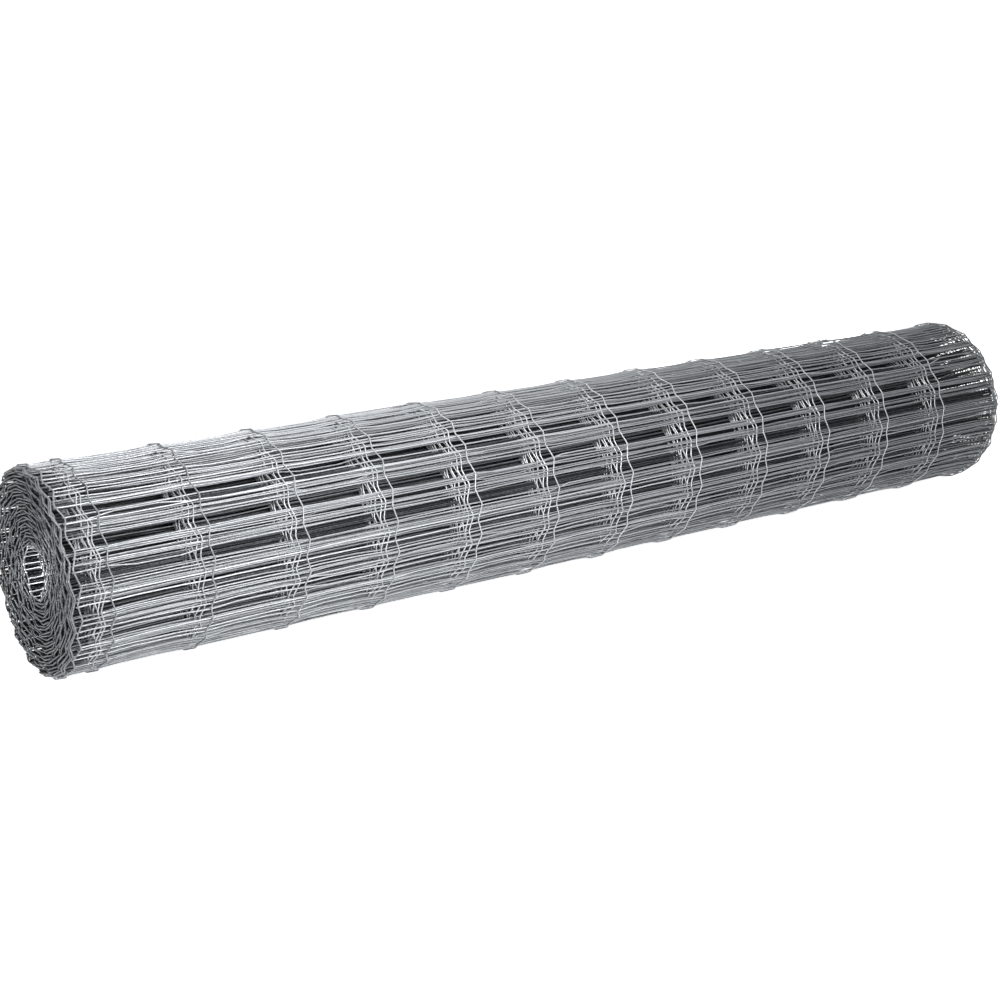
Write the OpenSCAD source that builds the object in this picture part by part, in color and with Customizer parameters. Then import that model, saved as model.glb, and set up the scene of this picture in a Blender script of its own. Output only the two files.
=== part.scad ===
// Roll of wire fencing, lying on its side with its axis along X.
// The wound mesh is one turned solid with its bore. The line wires of all the turns lie over one
// another in raised rings, the stay wires run from ring to ring, gathered in bands with open slots
// between them, and the turns show as a spiral on both ends.

/* [Fence] */
// Height of the fence, which is the length of the roll with its stay ends
fence_height = 1500; // [1000:10:2000]
// Number of line wires across the fence
line_count = 14; // [6:1:18]
// Distance between the two line wires at the close-set edge
edge_gap = 38; // [36:1:70]
// Length of the stay ends that stand out past the edge line wires
stay_end = 5; // [3:0.5:10]
// Diameter of the wire
wire_d = 1.8; // [1.6:0.1:2.5]

/* [Roll] */
// Diameter of the roll over its rings of line wire
roll_d = 250; // [200:1:320]
// Diameter of the open bore
bore_d = 60; // [40:1:80]
// Distance from one turn of the fence to the next
turn_pitch = 3.4; // [3.2:0.1:7]
// How far the rings stand out past the stay wires between them
ring_rise = 3.5; // [2.5:0.1:6]
// Width of a ring, over which the line wires of the turns spread
ring_w = 24; // [20:1:30]

/* [Bands] */
// Number of bands of stay wires round the roll
band_count = 20; // [12:1:24]
// Width of the open slot between two bands
slot_w = 11; // [6:0.5:14]
// Depth of the slots, down to the closely wound turns
slot_depth = 13; // [6:0.5:20]
// Angle from the lowest line of the roll to its first slot, half way along
first_slot = 3.2; // [0:0.1:18]
// Angle by which the bands turn in a metre of length
band_twist = -4; // [-8:0.5:8]

/* [Hidden] */
$fn = 96;
// Overlap that keeps a cut clear of the face it opens
eps = 0.5;
zinc = [0.62, 0.63, 0.64];

// Radii of the roll: over the outermost line wire, over the ring below it, over the stays, and of the bore
roll_r = roll_d / 2;
ring_r = roll_r - wire_d / 2;
stay_r = roll_r - ring_rise;
bore_r = bore_d / 2;
// Radius of the arc that bulges by the ring's rise over the ring's width
bulge = ring_r - stay_r;
ring_arc = (pow(ring_w / 2, 2) + pow(bulge, 2)) / (2 * bulge);

// Places of the rings along the roll, from the close-set edge
first_line = -fence_height / 2 + stay_end;
even_gap = (-2 * first_line - edge_gap) / (line_count - 2);
function line_at(i) = i == 0 ? first_line : first_line + edge_gap + (i - 1) * even_gap;

// Winding of the fence: whole turns from the bore out, and the open gap between them
turn_count = floor((roll_r - bore_r) / turn_pitch);
turn_gap = turn_pitch - wire_d;
gap_start = bore_r + wire_d;

// Slant of a slot, which follows the twist of the bands at the outside of the roll
slot_slant = atan(stay_r * band_twist * PI / 180 / 1000);

// Half of the roll's section beside its axis, with the rings and their outermost wires
module roll_section() {
    difference() {
        union() {
            translate([bore_r, -fence_height / 2])
                square([stay_r - bore_r, fence_height]);
            for (i = [0 : line_count - 1])
                translate([ring_r - ring_arc, line_at(i)])
                    circle(r = ring_arc);
            for (i = [0 : line_count - 1])
                translate([ring_r, line_at(i)])
                    circle(d = wire_d);
        }
        for (side = [-1, 1])
            translate([0, side * fence_height - fence_height / 2])
                square([roll_d, fence_height]);
    }
}

// Slots between the bands of stays, which stop at each ring
module band_slots() {
    difference() {
        for (k = [0 : band_count - 1])
            rotate([0, 0, first_slot + k * 360 / band_count])
                rotate([-slot_slant, 0, 0])
                    translate([stay_r - slot_depth, -slot_w / 2, -fence_height / 2])
                        cube([slot_depth + 2 * ring_rise, slot_w, fence_height]);
        for (i = [0 : line_count - 1])
            translate([0, 0, line_at(i)])
                cylinder(r = roll_d, h = ring_w + 2 * eps, center = true);
    }
}

// Half a turn of the open gap between two turns, from the radius r
module half_gap(r) {
    rotate_extrude(angle = 180)
        translate([r, 0])
            square([turn_gap, stay_end + eps]);
}

// The gap wound from the bore outwards: half turns about two centres, half a pitch apart
module wound_gap() {
    for (k = [0 : turn_count - 2])
        half_gap(gap_start + k * turn_pitch);
    for (k = [0 : turn_count - 3])
        translate([turn_pitch / 2, 0, 0])
            rotate([0, 0, 180])
                half_gap(gap_start + (k + 0.5) * turn_pitch);
}

// The wound mesh: turned body with its bore, slots between the bands and the spiral of turns on both ends
module fence_roll() {
    color(zinc)
        translate([0, 0, roll_r])
            rotate([0, 90, 0])
                difference() {
                    rotate_extrude()
                        roll_section();
                    band_slots();
                    translate([0, 0, fence_height / 2 - stay_end])
                        wound_gap();
                    translate([0, 0, -fence_height / 2 - eps])
                        wound_gap();
                }
}

fence_roll();
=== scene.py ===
import math

import bpy
import numpy as np
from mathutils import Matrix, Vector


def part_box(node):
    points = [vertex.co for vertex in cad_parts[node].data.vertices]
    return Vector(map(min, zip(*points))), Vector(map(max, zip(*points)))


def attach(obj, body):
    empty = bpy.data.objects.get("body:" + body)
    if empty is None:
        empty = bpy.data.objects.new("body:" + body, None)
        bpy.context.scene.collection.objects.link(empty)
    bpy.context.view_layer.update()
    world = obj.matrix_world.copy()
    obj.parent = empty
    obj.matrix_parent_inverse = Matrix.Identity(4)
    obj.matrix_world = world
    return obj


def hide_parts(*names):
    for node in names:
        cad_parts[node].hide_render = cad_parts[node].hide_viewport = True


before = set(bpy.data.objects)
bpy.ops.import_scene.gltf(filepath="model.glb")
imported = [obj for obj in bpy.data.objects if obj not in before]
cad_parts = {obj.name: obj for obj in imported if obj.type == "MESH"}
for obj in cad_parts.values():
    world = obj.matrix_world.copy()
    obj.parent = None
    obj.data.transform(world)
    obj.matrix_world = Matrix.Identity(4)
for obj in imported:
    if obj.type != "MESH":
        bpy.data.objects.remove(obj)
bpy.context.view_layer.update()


# Line wires
# Fourteen galvanised steel wires run the length of the fence, so each winds round the roll as a spiral.
# They are drawn to 1.8 mm and kinked to and fro in the plane of the fence, which takes up its slack.
# In the roll the turns have slipped along the axis, so the wires of one ring lie beside one another.
mm = 0.001
draw = np.random.default_rng(14)

roll_low, roll_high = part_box("fence_roll")
axis_height = (roll_low.z + roll_high.z) / 2
roll_radius = (roll_high.z - roll_low.z) / 2
roll_length = roll_high.x - roll_low.x

wire_radius = 0.9 * mm
line_count = 14
turn_count = 28
bore_radius = 30 * mm
stay_end = 5 * mm
edge_gap = 38 * mm
bundle_count = 20
twist_per_metre = math.radians(-4)
outer_end = math.radians(-82.3)

# The winding goes by turns in from the outer end of the fence and depths under the outside of the roll.
# The outermost turn drops on to the next just past its end. The loose turns lie about 4 mm apart and the
# rest about 3.3 mm. At both edges of the fence the outer turns are tighter, and more of them at the far one.
outer_radius = roll_radius - wire_radius
drop_start, drop_end = 0.9, 1.1
drop_top, drop_foot = 0.8 * mm, 2.2 * mm
loose_turns, loose_depth = 4, 14 * mm
edge_depth = 7 * mm
tight_turns, tight_depth = 11, 21 * mm
steps_per_turn = 400
turns_in = np.linspace(0, turn_count, steps_per_turn * turn_count + 1)


def winding_radii(marks, depths):
    """Radius at each of the turns in: straight from the outside to the drop at the end of the outermost
    turn, then to each given depth at its mark, and last to the bore."""
    turns = [0, drop_start, drop_end, *marks, turn_count]
    under = [0, drop_top, drop_foot, *depths]
    return np.interp(turns_in, turns, [*(outer_radius - depth for depth in under), bore_radius])


turn_radii = winding_radii([loose_turns], [loose_depth])
near_radii = winding_radii([loose_turns], [edge_depth])
far_radii = winding_radii([loose_turns, tight_turns], [edge_depth, tight_depth])
step_lengths = np.pi * (turn_radii[1:] + turn_radii[:-1]) * np.diff(turns_in)
turn_lengths = np.concatenate([[0], np.cumsum(step_lengths)])

# Two kinks go to each bundle of stays in the outermost turn, and the same step is kept all the way in.
kink_step = np.interp(1, turns_in, turn_lengths) / (2 * bundle_count)
kink_total = int(turn_lengths[-1] / kink_step)
kink_height = 3.0 * mm
flat_turns, flat_kink_height = 7, 0.6 * kink_height
kink_spread = 0.16
kink_round = 0.08
lift_spread = 0.25 * mm
sprung_share, sprung_lift = 0.05, 1.6 * mm
underside = -0.3

# The outermost turn has slipped towards the far end, and those below it towards the near end, the ninth most.
# At the near edge they have slipped about a quarter as far, and at the far edge they stand out a little.
side_slip = 4.9 * mm
slip_spread = 2 * mm
near_slip_share = 0.28
line_span = roll_length - 2 * (stay_end + side_slip)
even_gap = (line_span - edge_gap) / (line_count - 2)
line_places = -line_span / 2 + np.concatenate([[0], edge_gap + even_gap * np.arange(line_count - 1)])
slip_turns = np.concatenate([[0, drop_start, drop_end], np.arange(2, turn_count + 1)])
slip_sizes = np.interp(
    slip_turns,
    [0, drop_start, drop_end, loose_turns, 9, 14, turn_count],
    [side_slip, side_slip, -side_slip, -13 * mm, -21 * mm, -7 * mm, 3 * mm],
)
slip_sizes[3:] += slip_spread * draw.uniform(-1, 1, turn_count - 1)
near_slips = np.where(slip_turns > 1, near_slip_share, 1) * slip_sizes
far_slips = np.interp(
    slip_turns,
    [0, drop_start, drop_end, loose_turns, 9, turn_count],
    [4 * mm, 4 * mm, 5.5 * mm, 8 * mm, 9 * mm, 6 * mm],
)


def roll_point(along, angle, radius):
    """A point of the roll from its place along the axis, its angle round it and its radius: the angle is
    turned by the roll's slight twist, then its cosine and sine times the radius give the place across the
    roll and the height over its axis."""
    turned = angle + twist_per_metre * along
    across = radius * np.cos(turned)
    height = axis_height + radius * np.sin(turned)
    return np.stack([along + 0 * turned, across, height], axis=-1)


def line_kinks():
    """Corners of all line wires, by wire and kink: even steps along the winding, alternately to one side
    and the other of the wire's own place along the roll, at the radius and slip of the winding there. The
    kinks are pulled flatter in the close winding, and a few on the outside have sprung up."""
    kinks = np.arange(kink_total + 1)
    turns = np.interp(kinks * kink_step, turn_lengths, turns_in)
    radius = np.tile(np.interp(turns, turns_in, turn_radii), (line_count, 1))
    radius[[0, 1]] = np.interp(turns, turns_in, near_radii)
    radius[-1] = np.interp(turns, turns_in, far_radii)
    angle = outer_end + 2 * np.pi * turns
    slip = np.tile(np.interp(turns, slip_turns, slip_sizes), (line_count, 1))
    slip[0] = np.interp(turns, slip_turns, near_slips)
    slip[-1] = np.interp(turns, slip_turns, far_slips)
    height = np.interp(turns, [loose_turns, flat_turns], [kink_height, flat_kink_height])
    side = np.where(kinks % 2 == 0, height, -height)
    loose = draw.normal(0, kink_spread, (line_count, kinks.size)) * height
    lift = np.minimum(draw.normal(0, lift_spread, radius.shape), outer_radius - radius)
    sprung = (draw.random(lift.shape) < sprung_share) & (turns < 1) & (np.sin(angle) > underside)
    lift += sprung * sprung_lift
    along = line_places[:, None] + slip + side + loose
    return roll_point(along, angle, radius + lift), turns


def rounded(corners, share):
    """Path with each inner corner cut into two points, that share of the way to the corner before and the
    one after."""
    before = corners[:, 1:-1] + share * (corners[:, :-2] - corners[:, 1:-1])
    after = corners[:, 1:-1] + share * (corners[:, 2:] - corners[:, 1:-1])
    pairs = np.stack([before, after], axis=2).reshape(len(corners), -1, 3)
    return np.concatenate([corners[:, :1], pairs, corners[:, -1:]], axis=1)


def wire_surface(paths, sides):
    """Circle of wire carried along many paths at once: at each point the cosine and sine of even angles,
    times the wire's radius, go along two directions square to the path, the first being the way out from
    the roll's axis."""
    outward = paths * [0, 1, 1] - [0, 0, axis_height]
    heading = np.gradient(paths, axis=1)
    heading /= np.linalg.norm(heading, axis=2, keepdims=True)
    first = outward - (outward * heading).sum(axis=2, keepdims=True) * heading
    first /= np.linalg.norm(first, axis=2, keepdims=True)
    second = np.cross(heading, first)
    angle = 2 * np.pi * np.arange(sides)[:, None] / sides
    ring = np.cos(angle) * first[:, :, None] + np.sin(angle) * second[:, :, None]
    return paths[:, :, None] + wire_radius * ring


def wire_piece(name, paths, sides, tones):
    """Mesh of closed wires: four-cornered faces between neighbouring rings of points, and a flat cut on
    each end. The tone of each wire along its path is kept as an attribute of its points."""
    points = wire_surface(paths, sides)
    wires, stations = points.shape[:2]
    number = np.arange(points[..., 0].size).reshape(wires, stations, sides)
    nxt = np.roll(number, -1, axis=2)
    walls = np.stack([number[:, :-1], nxt[:, :-1], nxt[:, 1:], number[:, 1:]], axis=-1).reshape(-1)
    cuts = np.concatenate([number[:, 0, ::-1], number[:, -1]]).reshape(-1)
    sizes = np.concatenate([np.full(walls.size // 4, 4), np.full(2 * wires, sides)])
    mesh = bpy.data.meshes.new(name)
    mesh.vertices.add(number.size)
    mesh.vertices.foreach_set("co", points.reshape(-1))
    mesh.loops.add(walls.size + cuts.size)
    mesh.loops.foreach_set("vertex_index", np.concatenate([walls, cuts]))
    mesh.polygons.add(sizes.size)
    mesh.polygons.foreach_set("loop_start", np.concatenate([[0], np.cumsum(sizes)[:-1]]))
    mesh.polygons.foreach_set("use_smooth", sizes == 4)
    tone = mesh.attributes.new("tone", "FLOAT", "POINT")
    tone.data.foreach_set("value", np.repeat(np.broadcast_to(tones, (wires, stations)).reshape(-1), sides))
    mesh.update(calc_edges=True)
    mesh.validate()
    piece = bpy.data.objects.new(name, mesh)
    bpy.context.scene.collection.objects.link(piece)
    return piece


def linear(hex_colour):
    """Linear red, green, blue and alpha of an sRGB hex colour."""
    parts = np.array([int(hex_colour[k:k + 2], 16) for k in (1, 3, 5)]) / 255
    return (*np.where(parts <= 0.04045, parts / 12.92, ((parts + 0.055) / 1.055) ** 2.4), 1.0)


def add_node(tree, kind, settings, **links):
    """Adds a shader node, sets its properties and plain inputs, and links the named inputs to other
    outputs."""
    made = tree.nodes.new(kind)
    for key, value in settings.items():
        if hasattr(made, key):
            setattr(made, key, value)
        else:
            made.inputs[key].default_value = value
    for key, source in links.items():
        tree.links.new(source, made.inputs[key.replace("_", " ")])
    return made


def zinc_finish(name, dull_and_shaded, plain, bright, roughness):
    """Hot-dip galvanised wire: a grey zinc skin with a soft shine, duller where its crystals have gone
    chalky. The wire's own tone and its chalky patches together give the level, from dark and rough to
    bright and smooth; the tone also carries painted shade deep in the roll and painted highlights, so the
    dark end of the ramp is partly painted shade and the bright end partly painted highlight. On thin wire
    the crystals are well under a millimetre, too fine to show, so they are drawn about 3 mm long."""
    skin = bpy.data.materials.new(name)
    skin.use_nodes = True
    tree = skin.node_tree
    shader = tree.nodes["Principled BSDF"]
    place = add_node(tree, "ShaderNodeTexCoord", {})
    patch_size = 3 * mm
    patches = add_node(
        tree, "ShaderNodeTexNoise", {"Scale": 1 / patch_size, "Detail": 3.0, "Roughness": 0.6},
        Vector=place.outputs["Object"],
    )
    own = add_node(tree, "ShaderNodeAttribute", {"attribute_name": "tone"})
    patch_weight = 0.5
    both = add_node(tree, "ShaderNodeMath", {"operation": "MULTIPLY_ADD"})
    both.inputs[1].default_value = patch_weight
    tree.links.new(patches.outputs["Fac"], both.inputs[0])
    tree.links.new(own.outputs["Fac"], both.inputs[2])
    level = add_node(
        tree, "ShaderNodeMapRange", {"From Min": 0.25, "From Max": 1.75}, Value=both.outputs["Value"]
    )
    ramp = add_node(tree, "ShaderNodeValToRGB", {}, Fac=level.outputs["Result"])
    ramp.color_ramp.elements[0].color = linear(dull_and_shaded)
    ramp.color_ramp.elements[1].color = linear(bright)
    ramp.color_ramp.elements.new(0.5).color = linear(plain)
    tree.links.new(ramp.outputs["Color"], shader.inputs["Base Color"])
    rough = add_node(
        tree, "ShaderNodeMapRange", {"To Min": roughness + 0.1, "To Max": roughness - 0.2},
        Value=level.outputs["Result"],
    )
    tree.links.new(rough.outputs["Result"], shader.inputs["Roughness"])
    bare = add_node(
        tree, "ShaderNodeMapRange", {"From Min": 0.35, "From Max": 0.65, "To Min": 0.15, "To Max": 0.55},
        Value=patches.outputs["Fac"],
    )
    tree.links.new(bare.outputs["Result"], shader.inputs["Metallic"])
    return skin


# The darkest colour serves both darker zinc and painted shade in the deep turns, the brightest painted
# highlights.
wire_zinc = zinc_finish("galvanised_wire", "#2b2e31", "#b9bcc0", "#eceef0", 0.45)

kink_points, kink_turns = line_kinks()
line_sides = 5
line_paths = rounded(kink_points, kink_round)
path_turns = np.interp(np.arange(line_paths.shape[1]) / 2, np.arange(kink_turns.size), kink_turns)

# Tones by turns in, partly painted light and shade: the outermost turn is darker, the next few are
# painted bright as painted highlights, and the close winding is painted dark as painted shade.
# The two edge wires are painted darker as shade on the ends of the roll, and the wires between them
# are painted brighter from the near end to the far one, as a painted highlight.
ring_tones = [0, 1, 2, 3, 9, 12], [0.6, 0.65, 1.0, 1.15, 1.15, 0.4]
near_tones = (
    [0, 1, loose_turns, turn_count - 1.1, turn_count - 1, turn_count],
    [0.45, 0.35, 0.22, 0.2, 0.25, 0.3],
)
far_tones = [0, 1, 2, tight_turns, turn_count - 1], [0.4, 0.4, 0.75, 0.6, 0.3]
line_tone_spread = 0.1
# Painted shade on the middle line wires at the near end and painted highlight towards the far end.
near_painted_shade, far_painted_highlight = -0.2, 0.3
line_tones = np.tile(np.interp(path_turns, *ring_tones), (line_count, 1))
line_tones[0] = np.interp(path_turns, *near_tones)
line_tones[-1] = np.interp(path_turns, *far_tones)
line_tones += draw.uniform(-line_tone_spread, line_tone_spread, (line_count, 1))
line_tones[1:-1] += np.linspace(near_painted_shade, far_painted_highlight, line_count - 2)[:, None]

line_wires = wire_piece("line_wires", line_paths, line_sides, line_tones)
line_wires.data.materials.append(wire_zinc)
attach(line_wires, "root")
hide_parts("fence_roll")


# Stay wires
# Straight stays of the same wire cross the line wires from one edge of the fence to the other.
# They are welded on inside the line wires, and sag a little from ring to ring of the roll.
# In the loose turns they settle together in bundles, with dark slots between.
first_bundle = 0.25
bundle_share = 0.68
lane = 0.2
top_row, next_row = 4, 3
golden_section = 0.618034
nested_share = 0.5
stray_share = 0.07
lane_spread = 0.02
close_spread = 0.01
first_stay = 0.002

weld_sink = 0.15 * mm
sway_spread = 0.6 * mm
usual_sag, sag_spread = 1.8 * mm, 0.7 * mm
bow_spread = 0.5 * mm
bent_share, bent_spread = 0.06, 3.5 * mm
strip_share = 0.3
near_ends, far_ends = (0.2, 0.4), (0.2, 0.6)


def stay_turns():
    """Turns in at which the stays lie, two to each kink of the line wires. In the loose turns each moves
    to the nearest bundle. The outermost four of a bundle lie in even lanes across it and the next three
    between those. Of the rest, half nest in the lanes and half go on by the golden section of the
    bundle's width, which fills it. A few strays lie anywhere."""
    places = np.arange(1, 2 * kink_total) / 2
    turns = np.interp(places * kink_step, turn_lengths, turns_in)
    bundle = np.round(turns * bundle_count - first_bundle).astype(int)
    spot = bundle % bundle_count
    order = np.argsort(spot, kind="stable")
    counts = np.bincount(spot, minlength=bundle_count)
    rank = np.empty(spot.size, int)
    rank[order] = np.arange(spot.size) - np.repeat(np.cumsum(counts) - counts, counts)
    filled = (golden_section * rank + draw.random(bundle_count)[spot]) % 1 - 0.5
    nested = lane / 2 * draw.integers(1 - top_row, top_row, spot.size)
    rest = np.where(draw.random(spot.size) < nested_share, nested, filled * bundle_share)
    in_top = lane * (rank - (top_row - 1) / 2)
    in_next = lane * (rank - top_row - (next_row - 1) / 2)
    offset = np.where(rank < top_row, in_top, np.where(rank < top_row + next_row, in_next, rest))
    offset += draw.normal(0, lane_spread, spot.size)
    stray = draw.random(spot.size) < stray_share
    offset = np.where(stray, draw.uniform(-0.5, 0.5, spot.size), offset)
    packed = (bundle + first_bundle + offset) / bundle_count
    close = turns + draw.normal(0, close_spread, spot.size)
    return np.sort(np.where(turns < loose_turns, packed, close).clip(first_stay))


def on_lines(turns):
    """Points of the line wires at given turns in, by stay and wire: the straight run between the two
    nearest kinks."""
    steps = np.interp(turns, turns_in, turn_lengths) / kink_step
    before = np.clip(steps.astype(int), 0, kink_total - 1)
    share = (steps - before)[..., None]
    wire = np.arange(line_count)
    return (1 - share) * kink_points[wire, before] + share * kink_points[wire, before + 1]


def stay_paths(turns, stations, bends):
    """Paths of the stays: through their welds on all line wires, sagging towards the axis between them by
    a part of each stay's own sag, bowing a little to one side, some of them bent further, and running on
    past the two edge wires. The stations are shares of a gap at which the path has points, and the bends
    are the shares of sag and bow there. In the narrow strip at the near edge both are smaller."""
    sway = draw.normal(0, sway_spread, (turns.size, line_count)) / (2 * np.pi * outer_radius)
    welds = on_lines(turns[:, None] + sway)
    outward = welds * [0, 1, 1] - [0, 0, axis_height]
    outward /= np.linalg.norm(outward, axis=2, keepdims=True)
    sideways = np.cross(outward, [1.0, 0, 0])
    seats = welds - (2 * wire_radius - weld_sink) * outward
    share = np.array(stations)[:, None]
    runs = (1 - share) * seats[:, :-1, None] + share * seats[:, 1:, None]
    sags = np.abs(draw.normal(usual_sag, sag_spread, (turns.size, line_count - 1)))
    bows = draw.normal(0, bow_spread, sags.shape)
    knocks = draw.normal(0, bent_spread, sags.shape)
    bows += knocks * (draw.random(sags.shape) < bent_share)
    sags[:, 0] *= strip_share
    bows[:, 0] *= strip_share
    runs = runs - (sags[..., None] * bends)[..., None] * outward[:, :-1, None]
    runs = runs + (bows[..., None] * bends)[..., None] * sideways[:, :-1, None]
    middle = np.concatenate([runs.reshape(turns.size, -1, 3), seats[:, -1:]], axis=1)
    near_end = middle[:, :1] - stay_end * draw.uniform(*near_ends, (turns.size, 1, 1)) * [1.0, 0, 0]
    far_end = middle[:, -1:] + stay_end * draw.uniform(*far_ends, (turns.size, 1, 1)) * [1.0, 0, 0]
    return np.concatenate([near_end, middle, far_end], axis=1)


# Tones by turns in: bright on the outside, painted darker with depth as painted shade down to the close
# winding, and painted bright again round the bore as a painted highlight inside it.
# Below the outermost turn the stays are painted darker in the narrow strip at the near edge, a painted
# shadow.
stays_at = stay_turns()
stay_tones = np.interp(
    stays_at,
    [0, 1, loose_turns - 0.5, loose_turns + 0.5, 8, 11, turn_count - 1.6, turn_count - 1.5],
    [0.7, 0.65, 0.43, 0.12, 0.1, 0.02, 0.02, 1.3],
)
stay_tone_spread = 0.22
stay_tones += draw.uniform(-stay_tone_spread, stay_tone_spread, stays_at.size)
# Painted shadow: the deeper stays are painted darker by this much in the narrow strip at the near edge.
strip_turns, strip_painted_shade = 1.2, 0.4

# The outer stays, which can be seen well, have more points and sides than the deeper ones.
deep_turns = 12
fine, coarse = ([0, 0.28, 0.72], [0, 1, 1]), ([0, 0.5], [0, 1])
for stay_name, first, last, stay_sides, (stations, bends) in (
    ("outer_stays", 0, loose_turns, 6, fine),
    ("middle_stays", loose_turns, deep_turns, 4, coarse),
    ("inner_stays", deep_turns, turn_count, 4, coarse),
):
    chosen = (stays_at >= first) & (stays_at < last)
    paths = stay_paths(stays_at[chosen], stations, bends)
    in_strip = np.arange(paths.shape[1]) <= len(stations)
    # Painted shadow on the deeper stays in the first strip at the near edge.
    shaded_in_strip = in_strip & (stays_at[chosen, None] > strip_turns)
    stays = wire_piece(stay_name, paths, stay_sides, stay_tones[chosen, None] - strip_painted_shade * shaded_in_strip)
    stays.data.materials.append(wire_zinc)
    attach(stays, "root")
    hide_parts("fence_roll")


# Welds
# Each crossing is welded by pressing the two hot wires together, which leaves a small nugget between them.
# Only those of the two outermost turns, which can be seen, are drawn.
weld_turns = 2
nugget_radius = 1.25 * mm
nugget_level = 0.6


def weld_nuggets(centres, radius):
    """Six-sided nuggets: the poles and three rings of a ball, whose heights and widths are the cosine and
    sine of even angles from the top, set down at each centre."""
    corners = 6
    tilt = np.pi * np.array([[0.25], [0.5], [0.75]])
    turn = 2 * np.pi * np.arange(corners) / corners
    along = np.sin(tilt) * np.cos(turn)
    across = np.sin(tilt) * np.sin(turn)
    rings = np.stack([along, across, np.cos(tilt) + 0 * turn], axis=-1)
    ball = np.concatenate([[[0, 0, 1.0]], rings.reshape(-1, 3), [[0, 0, -1.0]]]) * radius
    here = np.arange(corners)
    after = (here + 1) % corners
    top_ring, middle_ring, low_ring, low_pole = 1 + corners * np.arange(4)
    caps = np.concatenate([
        np.stack([0 * here, top_ring + here, top_ring + after], axis=1),
        np.stack([low_pole + 0 * here, low_ring + after, low_ring + here], axis=1),
    ])
    sides = np.concatenate([
        np.stack([ring + here, ring + corners + here, ring + corners + after, ring + after], axis=1)
        for ring in (top_ring, middle_ring)
    ])
    start = len(ball) * np.arange(len(centres))[:, None, None]
    points = (centres[:, None] + ball).reshape(-1, 3)
    return points, (start + caps).reshape(-1, 3), (start + sides).reshape(-1, 4)


weld_rows = on_lines(stays_at[stays_at < weld_turns][:, None] + np.zeros(line_count)).reshape(-1, 3)
weld_out = weld_rows * [0, 1, 1] - [0, 0, axis_height]
weld_out /= np.linalg.norm(weld_out, axis=1, keepdims=True)
nugget_points, nugget_caps, nugget_sides = weld_nuggets(weld_rows - wire_radius * weld_out, nugget_radius)
nugget_mesh = bpy.data.meshes.new("weld_nuggets")
nugget_mesh.from_pydata(nugget_points, [], [*nugget_caps.tolist(), *nugget_sides.tolist()])
nugget_mesh.polygons.foreach_set("use_smooth", np.ones(len(nugget_mesh.polygons), bool))
nugget_tone = nugget_mesh.attributes.new("tone", "FLOAT", "POINT")
nugget_tone.data.foreach_set("value", np.full(len(nugget_points), nugget_level))
nuggets = bpy.data.objects.new("weld_nuggets", nugget_mesh)
bpy.context.scene.collection.objects.link(nuggets)
nugget_mesh.materials.append(wire_zinc)
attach(nuggets, "root")
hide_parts("fence_roll")


# Floor
# A plain pale studio floor in matt paint, with no edge in sight. It takes the roll's soft shadow.
# It glows only where it is looked at, straight or in a reflection, so it throws no extra light on the roll.
floor_reach = 200.0
floor_shine = 0.93
floor_mesh = bpy.data.meshes.new("studio_floor")
floor_corners = [(-1, -1, 0), (1, -1, 0), (1, 1, 0), (-1, 1, 0)]
floor_mesh.from_pydata(floor_reach * np.array(floor_corners), [], [(0, 1, 2, 3)])
studio_floor = bpy.data.objects.new("studio_floor", floor_mesh)
bpy.context.scene.collection.objects.link(studio_floor)
floor_paint = bpy.data.materials.new("white_floor_paint")
floor_paint.use_nodes = True
floor_tree = floor_paint.node_tree
floor_shader = floor_tree.nodes["Principled BSDF"]
floor_shader.inputs["Base Color"].default_value = linear("#f4f4f4")
floor_shader.inputs["Roughness"].default_value = 0.9
floor_shader.inputs["Emission Color"].default_value = linear("#ffffff")


def seen_straight(tree):
    """One for rays that show the surface itself, straight, in a reflection or through glass, and zero for
    those that gather its light."""
    path = add_node(tree, "ShaderNodeLightPath", {})
    shine = add_node(tree, "ShaderNodeMath", {"operation": "MAXIMUM"})
    tree.links.new(path.outputs["Is Camera Ray"], shine.inputs[0])
    tree.links.new(path.outputs["Is Glossy Ray"], shine.inputs[1])
    either = add_node(tree, "ShaderNodeMath", {"operation": "MAXIMUM"})
    tree.links.new(shine.outputs["Value"], either.inputs[0])
    tree.links.new(path.outputs["Is Transmission Ray"], either.inputs[1])
    return either.outputs["Value"]


floor_glow = add_node(
    floor_tree, "ShaderNodeMapRange", {"To Max": floor_shine}, Value=seen_straight(floor_tree)
)
floor_tree.links.new(floor_glow.outputs["Result"], floor_shader.inputs["Emission Strength"])
floor_mesh.materials.append(floor_paint)


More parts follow.
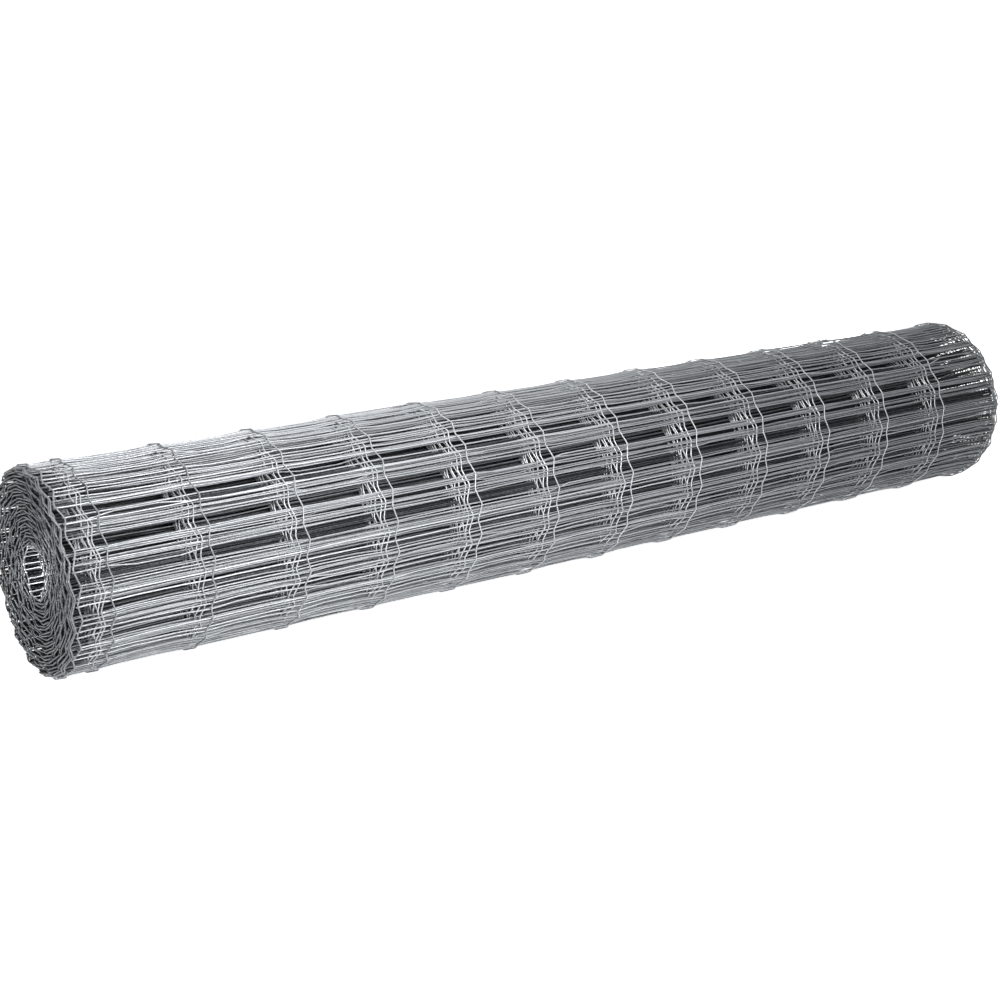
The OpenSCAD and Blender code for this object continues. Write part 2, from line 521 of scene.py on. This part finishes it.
# Light
# A soft box stands in front of the left half of the roll, one hangs over it and one lights its back.
# A small one lights the near end, and a narrow lamp shines into the bore.
# The room is white where it is looked at, straight or in a reflection, and gives little light of its own.
room = bpy.data.worlds.new("studio_room")
bpy.context.scene.world = room
room.use_nodes = True
room_tree = room.node_tree
room_light = room_tree.nodes["Background"]
room_light.inputs["Color"].default_value = linear("#ffffff")
room_level = 0.05
room_glow = add_node(
    room_tree, "ShaderNodeMapRange", {"To Min": room_level, "To Max": 1.0}, Value=seen_straight(room_tree)
)
room_tree.links.new(room_glow.outputs["Result"], room_light.inputs["Strength"])


def soft_box(name, spot, target, size, power, spread=180):
    """Square area lamp at a spot, turned to face a target, with its light kept to a spread in degrees."""
    lamp = bpy.data.lights.new(name, "AREA")
    lamp.size = size
    lamp.energy = power
    lamp.spread = math.radians(spread)
    stand = bpy.data.objects.new(name, lamp)
    stand.location = spot
    towards = np.subtract(target, spot)
    tip = math.atan2(np.hypot(towards[0], towards[1]), -towards[2])
    turn = math.atan2(towards[0], -towards[1]) + math.pi
    stand.rotation_euler = (tip, 0, turn)
    bpy.context.scene.collection.objects.link(stand)


soft_box("front_soft_box", spot=(-0.36, -0.75, 0.55), target=(-0.36, 0, 0.12), size=0.5, power=9.7)
soft_box("top_soft_box", spot=(-0.38, 0, 0.85), target=(-0.38, 0, 0.12), size=0.5, power=3.1)
soft_box("back_soft_box", spot=(1.4, 1.1, 0.3), target=(0.3, 0, 0.12), size=0.5, power=14)
soft_box("end_soft_box", spot=(-1.7, 0.1, 0.25), target=(-0.75, 0, 0.12), size=0.2, power=0.28, spread=30)
soft_box("bore_lamp", spot=(-1.5, -0.8, 0.45), target=(-0.74, 0, 0.125), size=0.03, power=0.032, spread=3)


# Camera
# It stands a little past the near end, at about the height of a table, and looks down along the roll.
# Its place, turn and focal length were fitted to the rings and edges of the roll in the photograph.
camera_spot = (-1.347, -1.803, 0.758)
camera_turn = math.radians(34.63)
camera_dip = math.radians(16.66)
picture_width = 1000
focal_pixels = 1712
lens = bpy.data.cameras.new("photo_camera")
lens.sensor_width = 36
lens.lens = lens.sensor_width * focal_pixels / picture_width
camera = bpy.data.objects.new("photo_camera", lens)
camera.location = camera_spot
camera.rotation_euler = (math.pi / 2 - camera_dip, 0, -camera_turn)
bpy.context.scene.collection.objects.link(camera)
bpy.context.scene.camera = camera
bpy.context.scene.view_settings.view_transform = "Standard"
